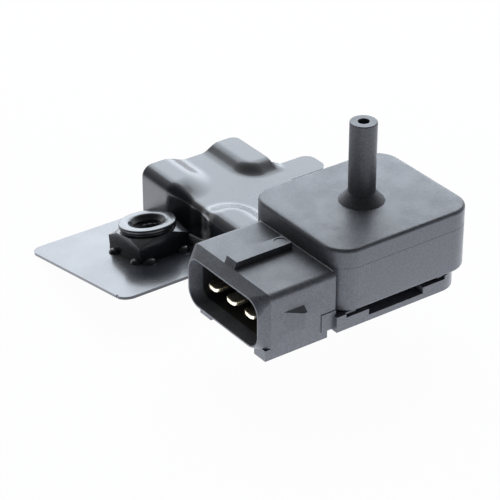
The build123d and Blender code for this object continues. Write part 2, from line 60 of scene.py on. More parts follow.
# a socket that can be used in sums
class Signal:
    def __init__(self, sheet, socket):
        self.sheet = sheet
        self.socket = socket

    def sums(self, operation, other, swapped=False):
        pair = [other, self] if swapped else [self, other]
        return self.sheet.node("ShaderNodeMath", {"operation": operation}, {0: pair[0], 1: pair[1]})

    def __add__(self, other):
        return self.sums("ADD", other)

    def __radd__(self, other):
        return self.sums("ADD", other, True)

    def __sub__(self, other):
        return self.sums("SUBTRACT", other)

    def __rsub__(self, other):
        return self.sums("SUBTRACT", other, True)

    def __mul__(self, other):
        return self.sums("MULTIPLY", other)

    def __rmul__(self, other):
        return self.sums("MULTIPLY", other, True)

    def clamped(self, low, high, newLow=0.0, newHigh=1.0):
        return self.sheet.node("ShaderNodeMapRange", {"interpolation_type": "SMOOTHSTEP"},
                               {"Value": self, "From Min": low, "From Max": high,
                                "To Min": newLow, "To Max": newHigh})


# the nodes of a material or of the sky
class Sheet:
    def __init__(self, owner):
        self.owner = owner
        owner.use_nodes = True
        self.tree = owner.node_tree
        self.tree.nodes.clear()

    def node(self, kind, settings=None, sockets=None, output=0):
        made = self.tree.nodes.new(kind)
        for key, value in (settings or {}).items():
            setattr(made, key, value)
        for key, value in (sockets or {}).items():
            if isinstance(value, Signal):
                self.tree.links.new(value.socket, made.inputs[key])
            else:
                made.inputs[key].default_value = value
        return Signal(self, made.outputs[output])

    def coords(self, scale=(1, 1, 1)):
        place = self.node("ShaderNodeTexCoord", output="Object")
        return self.node("ShaderNodeMapping", {}, {"Vector": place, "Scale": scale})

    def noise(self, where, scale, detail, rough):
        return self.node("ShaderNodeTexNoise", {}, {"Vector": where, "Scale": scale, "Detail": detail,
                                                    "Roughness": rough})

    def split(self, vector):
        parts = self.node("ShaderNodeSeparateXYZ", {}, {0: vector}).socket.node.outputs
        return [Signal(self, part) for part in parts]

    def mix(self, factor, first, second):
        return self.node("ShaderNodeMix", {"data_type": "RGBA"}, {0: factor, 6: first, 7: second}, 2)

    def bump(self, height, strength, distance):
        return self.node("ShaderNodeBump", {}, {"Height": height, "Strength": strength, "Distance": distance})

    def close(self, kind, shader):
        out = self.tree.nodes.new(kind)
        self.tree.links.new(shader.socket, out.inputs[0])
        return self.owner

    def surface(self, sockets):
        return self.close("ShaderNodeOutputMaterial", self.node("ShaderNodeBsdfPrincipled", {}, sockets))


# finishes of all the pieces
noiseLow, noiseHigh = 0.3, 0.7  # most of a noise's values lie between these
plasticLook = {
    "dark": (0.062, 0.066, 0.076), "light": (0.118, 0.126, 0.144), "coverTone": 0.97, "ior": 1.52,
    "grainScale": 3000.0, "cloudScale": 260.0, "fleckScale": 2100.0, "fleckFrom": 0.66, "fleckTo": 0.78,
    "grainShare": 0.6, "mottleFrom": 0.34, "mottleTo": 0.66, "fleckShare": 0.15,
    "roughLow": 0.40, "roughHigh": 0.50, "bump": 0.4, "bumpDepth": 0.00005,
}
# painted highlight: a pale line where the cover meets the housing above the connector, in metres
seamHighlight = {
    "frontEdge": -0.01416, "backEdge": -0.0139, "seam": 0.01078, "half": 0.00009, "soft": 0.00004,
    "colour": (0.62, 0.64, 0.66, 1),
}
# unlit walls of the connector's pocket, behind its lead-in, in metres
pocketShade = {"from": (-0.00805, -0.0261, 0.00065), "to": (0.0102, -0.0165, 0.0097), "soft": 0.00015,
               "colour": (0.012, 0.012, 0.013, 1)}


def toned(colour, tone):
    return tuple(part * tone for part in colour) + (1,)


# 1 between two limits of a signal, 0 outside them
def between(signal, low, high, soft):
    return signal.clamped(low - soft, low) * (1.0 - signal.clamped(high, high + soft))


def mouldedPlastic(name, tone=1.0):
    look = plasticLook
    sheet = Sheet(bpy.data.materials.new(name))
    where = sheet.coords()
    grain = sheet.noise(where, look["grainScale"], 2.0, 0.6)
    cloud = sheet.noise(where, look["cloudScale"], 4.0, 0.65)
    fleck = sheet.noise(where, look["fleckScale"], 1.0, 0.4).clamped(look["fleckFrom"], look["fleckTo"])
    blend = grain * look["grainShare"] + cloud * (1 - look["grainShare"])
    mottle = blend.clamped(look["mottleFrom"], look["mottleTo"])
    share = mottle * (1 - look["fleckShare"]) + fleck * look["fleckShare"]
    colour = sheet.mix(share, toned(look["dark"], tone), toned(look["light"], tone))
    rough = cloud.clamped(noiseLow, noiseHigh, look["roughLow"], look["roughHigh"])
    relief = sheet.bump(grain, look["bump"], look["bumpDepth"])
    across, lengthways, upright = sheet.split(where)

    inside = 1.0
    for way, start, end in zip((across, lengthways, upright), pocketShade["from"], pocketShade["to"]):
        inside = between(way, start, end, pocketShade["soft"]) * inside
    colour = sheet.mix(inside, colour, pocketShade["colour"])

    # painted highlight along the seam above the connector
    line, soft = seamHighlight, seamHighlight["soft"]
    seamHighlightMask = between(upright, line["seam"] - line["half"], line["seam"] + line["half"], soft)
    seamHighlightMask = seamHighlightMask * between(lengthways, line["frontEdge"], line["backEdge"], soft)
    colour = sheet.mix(seamHighlightMask, colour, line["colour"])
    return sheet.surface({"IOR": look["ior"], "Base Color": colour, "Roughness": rough, "Normal": relief})


coatLook = {
    "dark": (0.016, 0.018, 0.023), "light": (0.030, 0.033, 0.041), "waveScale": 420.0, "speckScale": 3200.0,
    "smearScale": 90.0, "waveShare": 0.8, "roughLow": 0.20, "roughHigh": 0.28, "bumpDepth": 0.00005,
    "ior": 1.5, "coat": 0.15, "coatRough": 0.1, "sheetDimple": 0.10, "nutDimple": 0.35, "nutTone": 0.9,
}


def glossCoat(name, tone, dimple):
    look = coatLook
    sheet = Sheet(bpy.data.materials.new(name))
    where = sheet.coords()
    wave = sheet.noise(where, look["waveScale"], 2.0, 0.5)
    speck = sheet.noise(where, look["speckScale"], 2.0, 0.6)
    smear = sheet.noise(where, look["smearScale"], 3.0, 0.6)
    share = smear.clamped(noiseLow, noiseHigh)
    colour = sheet.mix(share, toned(look["dark"], tone), toned(look["light"], tone))
    rough = smear.clamped(noiseLow, noiseHigh, look["roughLow"], look["roughHigh"])
    relief = sheet.bump(wave * look["waveShare"] + speck * (1 - look["waveShare"]), dimple, look["bumpDepth"])
    return sheet.surface({"IOR": look["ior"], "Coat IOR": look["ior"], "Coat Weight": look["coat"],
                          "Coat Roughness": look["coatRough"], "Base Color": colour, "Roughness": rough,
                          "Normal": relief})


metalLook = {"lineScale": 900.0, "stainScale": 260.0, "lineShare": 0.5, "bump": 0.15, "bumpDepth": 0.00002}


def brushedMetal(name, dark, light, streaks, roughLow, roughHigh):
    look = metalLook
    sheet = Sheet(bpy.data.materials.new(name))
    lines = sheet.noise(sheet.coords(streaks), look["lineScale"], 4.0, 0.7)
    stain = sheet.noise(sheet.coords(), look["stainScale"], 3.0, 0.6)
    colour = sheet.mix(lines * look["lineShare"] + stain * (1 - look["lineShare"]), dark, light)
    rough = stain.clamped(noiseLow, noiseHigh, roughLow, roughHigh)
    relief = sheet.bump(lines, look["bump"], look["bumpDepth"])
    return sheet.surface({"Metallic": 1.0, "Base Color": colour, "Roughness": rough, "Normal": relief})


softLook = {"bump": 0.3, "bumpDepth": 0.00004, "feltDepth": 0.0002}


def softSolid(name, dark, light, scale, roughLow, roughHigh, fixed=None, depth=softLook["bumpDepth"]):
    sheet = Sheet(bpy.data.materials.new(name))
    grain = sheet.noise(sheet.coords(), scale, 3.0, 0.6)
    rough = grain.clamped(noiseLow, noiseHigh, roughLow, roughHigh)
    relief = sheet.bump(grain, softLook["bump"], depth)
    return sheet.surface({**(fixed or {}), "Base Color": sheet.mix(grain, dark, light), "Roughness": rough,
                          "Normal": relief})


finishes = {
    "housing_plastic": mouldedPlastic("housingPlastic"),
    "cover_plastic": mouldedPlastic("coverPlastic", plasticLook["coverTone"]),
    "cup_plastic": softSolid("cupPlastic", (0.04, 0.04, 0.045, 1), (0.07, 0.07, 0.075, 1), 1500, 0.4, 0.6),
    "chip_plastic": softSolid("chipPlastic", (0.015, 0.015, 0.016, 1), (0.03, 0.03, 0.03, 1), 2600, 0.5, 0.7),
    "silicone": softSolid("siliconeRubber", (0.48, 0.49, 0.51, 1), (0.6, 0.61, 0.63, 1), 900, 0.35, 0.5,
                          {"Subsurface Weight": 0.1}),
    "gel": softSolid("clearGel", (0.72, 0.75, 0.78, 1), (0.8, 0.83, 0.85, 1), 300, 0.06, 0.12,
                     {"Transmission Weight": 0.7, "IOR": 1.41}),
    "filter_felt": softSolid("filterFelt", (0.68, 0.68, 0.65, 1), (0.86, 0.86, 0.83, 1), 3200, 0.8, 0.95,
                             depth=softLook["feltDepth"]),
    "board_ceramic": softSolid("boardCeramic", (0.82, 0.81, 0.77, 1), (0.9, 0.89, 0.86, 1), 1800, 0.5, 0.65),
    "capacitor_ceramic": softSolid("capacitorCeramic", (0.52, 0.40, 0.27, 1), (0.66, 0.53, 0.38, 1), 1500,
                                   0.3, 0.45),
    "resistor_film": softSolid("resistorFilm", (0.03, 0.05, 0.07, 1), (0.07, 0.09, 0.11, 1), 1500, 0.25, 0.4),
    "cell_glass": softSolid("cellGlass", (0.75, 0.82, 0.8, 1), (0.82, 0.88, 0.86, 1), 400, 0.03, 0.08,
                            {"Transmission Weight": 0.85, "IOR": 1.47}),
    "silicon": brushedMetal("siliconDie", (0.16, 0.17, 0.2, 1), (0.24, 0.25, 0.29, 1), (1, 1, 1), 0.1, 0.18),
    "link_metal": brushedMetal("linkMetal", (0.72, 0.72, 0.73, 1), (0.85, 0.85, 0.86, 1), (6, 1, 6),
                               0.22, 0.35),
    "terminal_metal": brushedMetal("terminalMetal", (0.80, 0.71, 0.50, 1), (0.96, 0.90, 0.74, 1), (6, 0.6, 6),
                                   0.2, 0.34),
    "bracket_coat": glossCoat("bracketCoat", 1.0, coatLook["sheetDimple"]),
    "nut_coat": glossCoat("nutCoat", coatLook["nutTone"], coatLook["nutDimple"]),
}
slotOfNode = {entry["node"]: entry["material_slot"] for entry in frame["record"]["subparts"]}
for nodeName, cadObject in cadNodes.items():
    cadObject.data.materials.clear()
    cadObject.data.materials.append(finishes[slotOfNode[nodeName]])
print("finishes made:", len(finishes))


# helpers for the meshes
def linked(name, data):
    made = bpy.data.objects.new(name, data)
    bpy.context.scene.collection.objects.link(made)
    return made


def meshObject(name, mesh, finish):
    made = linked(name, mesh)
    mesh.materials.clear()
    mesh.materials.append(finishes[finish])
    return made


def meshFrom(work, name):
    mesh = bpy.data.meshes.new(name)
    work.to_mesh(mesh)
    work.free()
    return mesh


def smoothFaces(mesh):
    for face in mesh.polygons:
        face.use_smooth = True


def bevelled(thing, width, rounds, angle):
    bevel = thing.modifiers.new("softEdges", "BEVEL")
    bevel.width = width * mm
    bevel.segments = rounds
    bevel.limit_method = "ANGLE"
    bevel.angle_limit = math.radians(angle)
    bevel.harden_normals = True


def tooled(thing, name, mesh, operation):
    tool = linked(name, mesh)
    cut = thing.modifiers.new(name, "BOOLEAN")
    cut.object = tool
    cut.operation = operation
    cut.solver = "EXACT"
    return tool


def settle(thing):
    graph = bpy.context.evaluated_depsgraph_get()
    solid = bpy.data.meshes.new_from_object(thing.evaluated_get(graph), depsgraph=graph)
    thing.modifiers.clear()
    thing.data = solid
    smoothFaces(solid)
    return thing


def stands(thing, finish, *nodeNames):
    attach(thing, "root")
    if nodeNames:
        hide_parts(*nodeNames)
    return thing


# housing and cover: the CAD shapes with moulded, softened edges
edgeSize = {"housing": 0.16, "cover": 0.2, "rounds": 3, "angle": 28, "sharp": 14, "flat": 1.2,
            "merge": 0.0008}


def softened(nodeName, finish, width):
    mesh = cadNodes[nodeName].data.copy()
    work = bmesh.new()
    work.from_mesh(mesh)
    bmesh.ops.remove_doubles(work, verts=work.verts, dist=edgeSize["merge"] * mm)
    bmesh.ops.dissolve_limit(work, angle_limit=math.radians(edgeSize["flat"]), verts=work.verts,
                             edges=work.edges, use_dissolve_boundaries=False, delimit=set())
    work.to_mesh(mesh)
    work.free()
    smoothFaces(mesh)
    mesh.set_sharp_from_angle(angle=math.radians(edgeSize["sharp"]))
    piece = meshObject(nodeName + "Moulding", mesh, finish)
    bevelled(piece, width, edgeSize["rounds"], edgeSize["angle"])
    return stands(settle(piece), finish, nodeName)


housingMoulding = softened("housing", "housing_plastic", edgeSize["housing"])
coverMoulding = softened("cover", "cover_plastic", edgeSize["cover"])
print("mouldings:", len(housingMoulding.data.polygons), len(coverMoulding.data.polygons))


# bracket: one pressed and folded sheet
bracketSize = {
    "left": -45.9, "back": 7.1, "front": -11.75, "stepRight": -17.3, "top": 2.75, "thick": 0.5,
    "tongueLeft": -14.0, "tongueEnd": 8.4, "tongueFront": -10.85,
    "tabLeft": -34.6, "tabRight": -28.7, "tabEnd": 15.3, "tabFade": 2.0,
    "flangeLeft": -48.97, "flangeRight": -18.0, "flangeFront": -35.05, "flangeX": -29.87, "flangeZ": -3.58,
    "tilt": 10.0, "bend": 1.15, "padBend": 0.9, "footBend": 0.7, "rise": 1.35, "bulge": 1.35,
    "bulgeAt": -30.0, "corner": 1.5, "tabCorner": 2.0, "flangeCorner": 2.2, "heelCorner": 1.2, "heel": -13.8,
    "nutAlong": -3.3, "nutY": -19.95, "boltHole": 3.4, "drillDeep": 6.0, "drillAround": 64,
    "edge": 0.1, "edgeAngle": 50, "edgeRounds": 2,
}
# rows of faces along each stretch of the sheet, and the width of its columns
bracketMesh = {"columns": 0.3, "tongueColumns": 0.8, "rowsTo": -9.3, "plateauRows": 6, "foldRows": 9,
               "wallRows": 12, "footRows": 8, "flangeRows": 60, "cornerCuts": 8, "cornerReach": 0.5,
               "snap": 1e-7}
farOff = 80.0  # past the sheet, where a pad has no edge on that side
# left, right, front and back of each pad's foot, the width of its slopes in that order, and how round
# its corners are in slope widths
padSizes = [(-farOff, -32.3, -farOff, -3.5, 6.2, 6.2, 5.0, 5.0, 0.3),
            (-farOff, -31.9, -0.3, farOff, 4.8, 4.4, 3.5, 3.5, 0.4),
            (-29.7, -14.2, -farOff, -3.7, 5.6, 4.0, 4.6, 4.6, 0.3)]


def eased(t):
    t = min(max(t, 0.0), 1.0)
    return t * t * (3 - 2 * t)


def padHeight(x, y):
    most = 0.0
    for left, right, front, back, slopeLeft, slopeRight, slopeFront, slopeBack, roundness in padSizes:
        fullAt = 1 + roundness
        sideways = fullAt - min((x - left) / slopeLeft, (right - x) / slopeRight)
        lengthways = fullAt - min((y - front) / slopeFront, (back - y) / slopeBack)
        most = max(most, eased(fullAt - math.hypot(max(sideways, 0), max(lengthways, 0))))
    return most


def stepped(points, size):
    spots = []
    for start, end in zip(points, points[1:]):
        count = max(1, round(abs(end - start) / size))
        spots += [start + (end - start) * k / count for k in range(count)]
    return spots + [points[-1]]


def bracketColumn(x, backRows):
    b, rows = bracketSize, bracketMesh
    side = min(max(x, b["left"]), b["stepRight"])
    flat = x > b["tongueLeft"]
    pad = padHeight(side, b["bulgeAt"])
    bend = b["bend"] + b["padBend"] * pad
    foldY = b["front"] - b["bulge"] * pad
    foldZ = b["top"] + b["rise"] * pad
    lowZ = b["flangeZ"] + math.tan(math.radians(b["tilt"])) * (x - b["flangeX"])
    spots = []
    for y in backRows:
        fade = 1 - eased((y - b["back"]) / b["tabFade"])
        spots.append(("top", y, b["top"] + (0 if flat else b["rise"] * padHeight(x, y) * fade)))
    startY = backRows[-1]
    for k in range(1, rows["plateauRows"] + 1):
        y = startY + (foldY + bend - startY) * k / rows["plateauRows"]
        spots.append(("top", y, b["top"] + (0 if flat else b["rise"] * padHeight(x, y))))
    for k in range(1, rows["foldRows"] + 1):
        turn = math.radians(90 * k / rows["foldRows"])
        spots.append(("wall", foldY + bend - bend * math.sin(turn), foldZ - bend + bend * math.cos(turn)))
    wallTop, wallLow = foldZ - bend, lowZ + b["footBend"]
    for k in range(1, rows["wallRows"]):
        spots.append(("wall", foldY, wallTop + (wallLow - wallTop) * k / rows["wallRows"]))
    for k in range(rows["footRows"] + 1):
        turn = math.radians(90 * k / rows["footRows"])
        spots.append(("wall" if k < rows["footRows"] else "flange",
                      foldY - b["footBend"] + b["footBend"] * math.cos(turn),
                      wallLow - b["footBend"] * math.sin(turn)))
    startY = foldY - b["footBend"]
    for k in range(1, rows["flangeRows"] + 1):
        spots.append(("flange", startY + (b["flangeFront"] - startY) * k / rows["flangeRows"], lowZ))
    return spots


# rounds the corner at x and y, whose centre lies the way of towardsX and towardsY
def cutCorner(work, x, y, towardsX, towardsY, radius):
    centre = Vector((x + towardsX * radius, y + towardsY * radius, 0)) * mm
    cuts, reach = bracketMesh["cornerCuts"], bracketMesh["cornerReach"]

    def atCorner(face):
        middle = face.calc_center_median() / mm
        return -reach < (middle.x - x) * towardsX < radius and -reach < (middle.y - y) * towardsY < radius

    for k in range(cuts):
        turn = math.radians(90 * (k + 0.5) / cuts)
        outward = Vector((-towardsX * math.cos(turn), -towardsY * math.sin(turn), 0))
        faces = [face for face in work.faces if atCorner(face)]
        # each edge and corner once, in a fixed order, so that every run gives the same mesh
        edges = dict.fromkeys(e for f in faces for e in f.edges)
        verts = dict.fromkeys(v for f in faces for v in f.verts)
        bmesh.ops.bisect_plane(work, geom=[*verts, *edges, *faces], dist=bracketMesh["snap"],
                               plane_co=centre + outward * radius * mm, plane_no=outward, clear_outer=True)


def onSheet(kinds, x, y):
    b = bracketSize
    if kinds == {"flange"}:
        return x < b["flangeRight"]
    if "wall" in kinds:
        return b["left"] < x < b["stepRight"]
    return b["left"] < x and (y < b["back"] or b["tabLeft"] < x < b["tabRight"])


def pressedSheet():
    b, size = bracketSize, bracketMesh["columns"]
    backRows = stepped([b["tabEnd"], b["back"], bracketMesh["rowsTo"]], size)
    columns = stepped([b["flangeLeft"], b["left"], b["tabLeft"], b["tabRight"], b["flangeRight"],
                       b["stepRight"]], size)
    columns += stepped([b["stepRight"], b["tongueEnd"]], bracketMesh["tongueColumns"])[1:]
    work = bmesh.new()
    grid = []
    for x in columns:
        grid.append([(kind, work.verts.new((x * mm, y * mm, z * mm)))
                     for kind, y, z in bracketColumn(x, backRows)])
    for i in range(len(columns) - 1):
        x = (columns[i] + columns[i + 1]) / 2
        for j in range(len(grid[0]) - 1):
            (kind, here), (nextKind, ahead) = grid[i][j], grid[i][j + 1]
            if onSheet({kind, nextKind}, x, (here.co.y + ahead.co.y) / 2 / mm):
                work.faces.new((here, ahead, grid[i + 1][j + 1][1], grid[i + 1][j][1]))
    corners = [(b["left"], b["back"], 1, -1, b["corner"]), (b["tongueEnd"], b["back"], -1, -1, b["corner"]),
               (b["tongueEnd"], b["tongueFront"], -1, 1, b["corner"]),
               (b["tabLeft"], b["tabEnd"], 1, -1, b["tabCorner"]),
               (b["tabRight"], b["tabEnd"], -1, -1, b["tabCorner"]),
               (b["flangeLeft"], b["flangeFront"], 1, 1, b["flangeCorner"]),
               (b["flangeRight"], b["flangeFront"], -1, 1, b["flangeCorner"]),
               (b["flangeLeft"], b["heel"], 1, -1, b["heelCorner"])]
    for corner in corners:
        cutCorner(work, *corner)
    bmesh.ops.delete(work, geom=[v for v in work.verts if not v.link_faces], context="VERTS")
    work.normal_update()
    topFace = max(work.faces, key=lambda f: f.calc_center_median().z)
    if topFace.normal.z < 0:
        bmesh.ops.reverse_faces(work, faces=work.faces)
    mesh = meshFrom(work, "bracketSheet")
    smoothFaces(mesh)
    return mesh


# where the nut's foot stands on the flange
def nutPlace():
    b, tilt = bracketSize, math.radians(bracketSize["tilt"])
    turn = Matrix(((math.cos(tilt), 0, -math.sin(tilt)), (0, 1, 0), (math.sin(tilt), 0, math.cos(tilt))))
    foot = Vector((b["flangeX"] + b["nutAlong"] * math.cos(tilt), b["nutY"],
                   b["flangeZ"] + b["nutAlong"] * math.sin(tilt)))
    return Matrix.Translation(foot * mm) @ turn.to_4x4()


def buildBracket():
    b = bracketSize
    sheetPiece = meshObject("bracketSheet", pressedSheet(), "bracket_coat")
    body = sheetPiece.modifiers.new("sheet", "SOLIDIFY")
    body.thickness = b["thick"] * mm
    body.offset = -1
    body.use_even_offset = True
    settle(sheetPiece)

    work = bmesh.new()
    bmesh.ops.create_cone(work, cap_ends=True, segments=b["drillAround"], radius1=b["boltHole"] * mm,
                          radius2=b["boltHole"] * mm, depth=b["drillDeep"] * mm)
    drillMesh = meshFrom(work, "drill")
    drillMesh.transform(nutPlace())
    drill = tooled(sheetPiece, "drill", drillMesh, "DIFFERENCE")
    bevelled(sheetPiece, b["edge"], b["edgeRounds"], b["edgeAngle"])
    settle(sheetPiece)
    bpy.data.objects.remove(drill)
    return stands(sheetPiece, "bracket_coat", "bracket")


sheetBracket = buildBracket()
print("bracket:", len(sheetBracket.data.polygons))


# weld nut: a square block with slanting corner facets, a turned collar and a threaded bore
nutSize = {
    "side": 10.2, "high": 5.2, "facetDrop": 1.15, "edge": 0.13, "edgeRounds": 2, "edgeFull": 0.6,
    "collar": 5.05, "collarHigh": 1.25, "undercut": 0.4, "neckRise": 0.3, "rimRound": 0.26, "rimRounds": 6,
    "thread": 2.5, "mouth": 3.35, "lip": 0.22, "pitch": 1.0, "threadDeep": 0.45, "threadRunOut": 0.3,
    "threadPoint": 1.2, "threadRows": 0.06, "toolPast": 1.0, "toolClear": 0.001, "around": 96, "sharp": 38,
}


def lathe(name, profile, around, groove=None):
    work = bmesh.new()
    rings = []
    for radius, high in profile:
        ring = []
        for k in range(around):
            turn = 2 * math.pi * k / around
            reach = radius + (groove(turn, high) if groove else 0)
            ring.append(work.verts.new((reach * math.cos(turn) * mm, reach * math.sin(turn) * mm, high * mm)))
        rings.append(ring)
    for low, up in zip(rings, rings[1:]):
        for k in range(around):
            work.faces.new((low[k], low[(k + 1) % around], up[(k + 1) % around], up[k]))
    work.faces.new(list(reversed(rings[0])))
    work.faces.new(rings[-1])
    bmesh.ops.recalc_face_normals(work, faces=work.faces)
    return meshFrom(work, name)


def nutBlock():
    n = nutSize
    bodyHigh = n["high"] - n["collarHigh"]
    work = bmesh.new()
    bmesh.ops.create_cube(work, size=1.0)
    bmesh.ops.scale(work, vec=Vector((n["side"], n["side"], bodyHigh)) * mm, verts=work.verts)
    bmesh.ops.translate(work, vec=(0, 0, bodyHigh * mm / 2), verts=work.verts)
    cornerReach = n["side"] / math.sqrt(2)
    slant = math.atan2(n["facetDrop"], cornerReach - n["collar"])
    for k in range(4):
        turn = math.radians(45 + 90 * k)
        outward = Vector((math.cos(turn), math.sin(turn), 0))
        cut = bmesh.ops.bisect_plane(work, geom=work.verts[:] + work.edges[:] + work.faces[:],
                                     plane_co=(outward * n["collar"] + Vector((0, 0, bodyHigh))) * mm,
                                     plane_no=outward * math.sin(slant) + Vector((0, 0, math.cos(slant))),
                                     clear_outer=True)
        bmesh.ops.holes_fill(work, edges=[e for e in cut["geom_cut"] if isinstance(e, bmesh.types.BMEdge)])
    bmesh.ops.bevel(work, geom=work.edges[:], offset=n["edge"] * mm, segments=n["edgeRounds"],
                    profile=n["edgeFull"], affect="EDGES")
    bmesh.ops.recalc_face_normals(work, faces=work.faces)
    return meshFrom(work, "weldNut")


def quarterRound(centreR, centreZ, radius, count):
    turns = [math.radians(90 * k / count) for k in range(count + 1)]
    return [(centreR + radius * math.cos(t), centreZ + radius * math.sin(t)) for t in turns]


def buildNut():
    n = nutSize
    top, rim, soft, past = n["high"], n["collar"], n["rimRound"], n["toolPast"]
    neck = rim - n["undercut"]
    collar = [(neck, past), (neck, top - n["collarHigh"] + n["neckRise"]), (rim, top - 2 * soft)]
    collar += quarterRound(rim - soft, top - soft, soft, n["rimRounds"])
    thread, mouth, lip, rows = n["thread"], n["mouth"], n["lip"], n["threadRows"]
    sink = mouth - thread
    bore = [(mouth + sink, -past), (thread, sink)]
    bore += [(thread, z) for z in stepped([sink + rows, top - sink - rows], rows)]
    bore += [(thread, top - sink), (mouth - lip, top - lip), (mouth - lip / 3, top - lip / 4),
             (mouth + lip, top + n["toolClear"]), (mouth + lip, top + past)]

    def groove(turn, high):
        wave = (high / n["pitch"] + turn / (2 * math.pi)) % 1.0
        inside = max(0.0, min(1.0, min(high - sink, top - sink - high) / n["threadRunOut"]))
        return n["threadDeep"] * inside * (1 - abs(2 * wave - 1)) ** n["threadPoint"]

    nut = meshObject("weldNut", nutBlock(), "nut_coat")
    tools = [("collar", "UNION", lathe("collar", collar, n["around"])),
             ("bore", "DIFFERENCE", lathe("bore", bore, n["around"], groove))]
    for label, operation, mesh in tools:
        tool = tooled(nut, label, mesh, operation)
        settle(nut)
        bpy.data.objects.remove(tool)
    nut.data.transform(nutPlace())
    nut.data.set_sharp_from_angle(angle=math.radians(n["sharp"]))
    return stands(nut, "nut_coat", "weld_nut")


squareNut = buildNut()
print("nut:", len(squareNut.data.polygons))


# repeated pieces with Geometry Nodes
class GeoSheet:
    def __init__(self, name, inputs):
        self.tree = bpy.data.node_groups.new(name, "GeometryNodeTree")
        self.sockets = {}
        self.tree.interface.new_socket("Geometry", in_out="INPUT", socket_type="NodeSocketGeometry")
        for label, kind in inputs:
            made = self.tree.interface.new_socket(label, in_out="INPUT", socket_type=kind)
            self.sockets[label] = made.identifier
        self.tree.interface.new_socket("Geometry", in_out="OUTPUT", socket_type="NodeSocketGeometry")
        self.start = self.tree.nodes.new("NodeGroupInput")
        self.end = self.tree.nodes.new("NodeGroupOutput")

    def node(self, kind, settings=None, sockets=None):
        made = self.tree.nodes.new(kind)
        for key, value in (settings or {}).items():
            setattr(made, key, value)
        for key, value in (sockets or {}).items():
            if isinstance(value, bpy.types.NodeSocket):
                self.tree.links.new(value, made.inputs[key])
            else:
                made.inputs[key].default_value = value
        return made

    def finish(self, geometry, material):
        plain = self.node("GeometryNodeRealizeInstances", {}, {0: geometry})
        painted = self.node("GeometryNodeSetMaterial", {}, {"Geometry": plain.outputs[0],
                                                            "Material": material})
        self.tree.links.new(painted.outputs[0], self.end.inputs[0])

    def applyTo(self, thing, values):
        modifier = thing.modifiers.new(self.tree.name, "NODES")
        modifier.node_group = self.tree
        for label, value in values.items():
            modifier[self.sockets[label]] = value
        return settle(thing)


# terminals: one blade, repeated in a row
bladeSize = {
    "wide": 2.8, "thick": 0.8, "tip": -26.95, "root": -16.78, "pitch": 5.0, "firstX": -4.2, "z": 4.69,
    "count": 3, "nose": 0.75, "noseSide": 0.35, "noseFront": 0.3, "edge": 0.16, "edgeRounds": 3,
    "edgeTurn": 0.6, "sharp": 50,  # edgeTurn in radians, sharp in degrees
}


def buildBlades():
    s = bladeSize
    half, nose, up = s["wide"] / 2, s["nose"], s["thick"] / 2
    side = [(half, s["root"]), (half, s["tip"] + nose),
            (half - nose * s["noseSide"], s["tip"] + nose * s["noseFront"]), (half - nose, s["tip"])]
    outline = [(-x, y) for x, y in side] + side[::-1]
    work = bmesh.new()
    low = [work.verts.new((x * mm, y * mm, (s["z"] - up) * mm)) for x, y in outline]
    top = [work.verts.new((x * mm, y * mm, (s["z"] + up) * mm)) for x, y in outline]
    work.faces.new(list(reversed(low)))
    work.faces.new(top)
    for k in range(len(outline)):
        n = (k + 1) % len(outline)
        work.faces.new((low[k], low[n], top[n], top[k]))
    bmesh.ops.recalc_face_normals(work, faces=work.faces)
    crisp = [e for e in work.edges if e.calc_face_angle(0) > s["edgeTurn"]]
    bmesh.ops.bevel(work, geom=crisp, offset=s["edge"] * mm, segments=s["edgeRounds"], profile=0.5,
                    affect="EDGES")
    blades = meshObject("terminalBlades", meshFrom(work, "terminalBlades"), "terminal_metal")
    tree = GeoSheet("bladeRow", [("Count", "NodeSocketInt"), ("Pitch", "NodeSocketFloat"),
                                 ("First", "NodeSocketFloat")])
    offset = tree.node("ShaderNodeCombineXYZ", {}, {"X": tree.start.outputs["Pitch"]})
    first = tree.node("ShaderNodeCombineXYZ", {}, {"X": tree.start.outputs["First"]})
    row = tree.node("GeometryNodeMeshLine", {}, {"Count": tree.start.outputs["Count"],
                                                 "Start Location": first.outputs[0],
                                                 "Offset": offset.outputs[0]})
    placed = tree.node("GeometryNodeInstanceOnPoints", {}, {"Points": row.outputs[0],
                                                            "Instance": tree.start.outputs["Geometry"]})
    tree.finish(placed.outputs[0], finishes["terminal_metal"])
    tree.applyTo(blades, {"Count": s["count"], "Pitch": s["pitch"] * mm, "First": s["firstX"] * mm})
    blades.data.set_sharp_from_angle(angle=math.radians(s["sharp"]))
    return stands(blades, "terminal_metal", "terminal_ground", "terminal_signal", "terminal_supply")


# weld beads: two at each side of the nut's foot
beadSize = {"size": 1.25, "out": 3.5, "smallest": 0.8, "largest": 1.25, "seed": 4, "flat": 0.7, "finer": 3}


